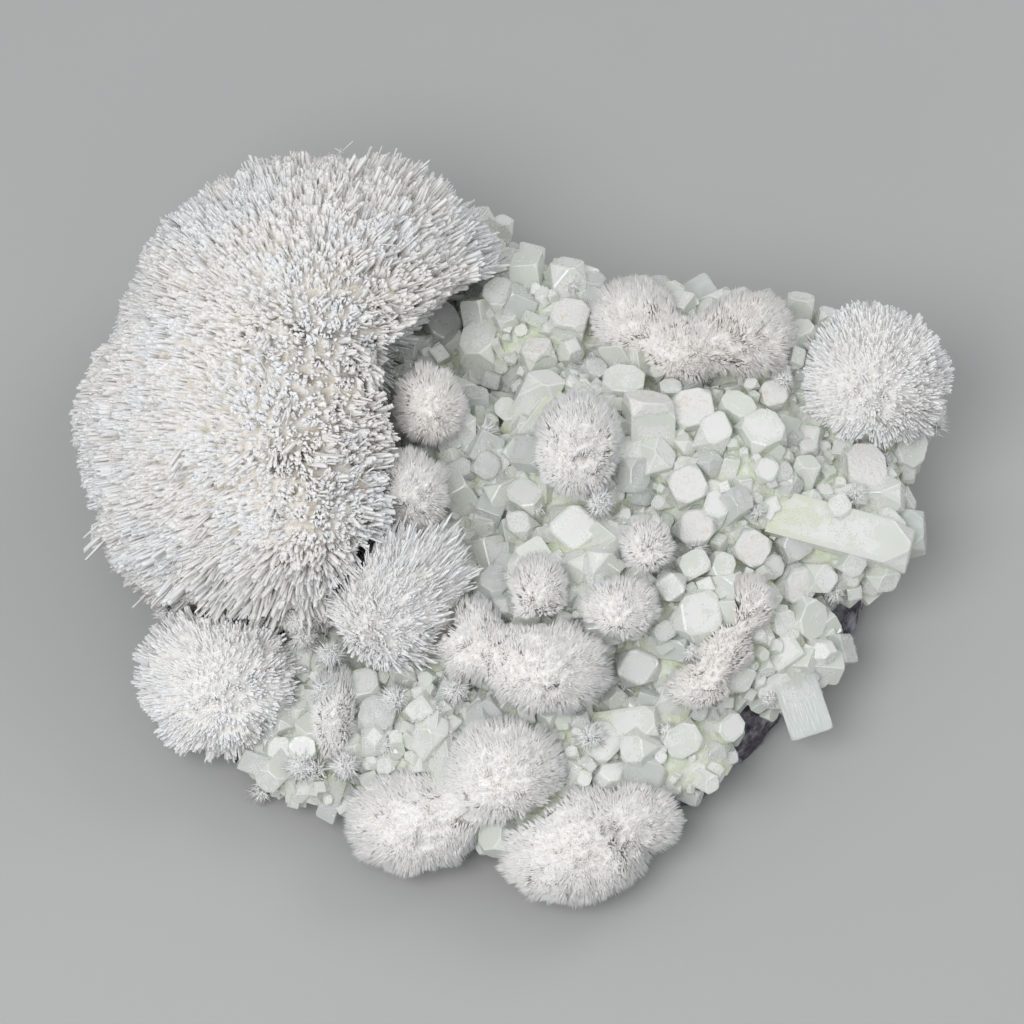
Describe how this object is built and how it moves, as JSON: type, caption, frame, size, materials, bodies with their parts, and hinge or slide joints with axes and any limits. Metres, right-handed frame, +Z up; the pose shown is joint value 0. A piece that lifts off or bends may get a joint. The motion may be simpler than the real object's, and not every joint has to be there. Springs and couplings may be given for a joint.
{
  "type": "apophyllite with mordenite specimen",
  "caption": "Cabinet mineral specimen: pale green apophyllite crystals and white radiating sprays of mordenite needles on a basalt matrix, which lies on a flat foot.",
  "frame": {"origin": "on the sawn foot of the matrix, in the middle of the specimen", "axes": "+X to the right and +Y away from a viewer who looks down on the show face, +Z up from the foot"},
  "size_m": [0.1495, 0.1335, 0.0561],
  "materials": {
    "basalt": "rough broken rock with a fine grey and purple druse",
    "apophyllite": "clear to frosted pale mint green, glassy faces, white druse on some ends",
    "white_needles": "silky white needles, bluish where seen from the side",
    "cream_needles": "fine cream and pinkish fuzz of needles"
  },
  "bodies": {
    "root": {"basalt_matrix": "basalt", "apophyllite_crust": "apophyllite", "great_spray": "white_needles", "left_spray": "white_needles", "nestled_spray": "cream_needles", "upper_ridge_spray": "cream_needles", "lower_ridge_spray": "white_needles", "fan_spray": "white_needles", "middle_spray": "white_needles", "front_spray": "white_needles", "foot_spray": "white_needles", "bank_spray": "white_needles", "rim_spray": "cream_needles", "corner_spray": "white_needles", "centre_spray": "white_needles", "slope_spray": "white_needles", "shelf_spray": "white_needles", "bead_spray": "white_needles", "slanting_spray": "cream_needles"}
  },
  "joints": []
}
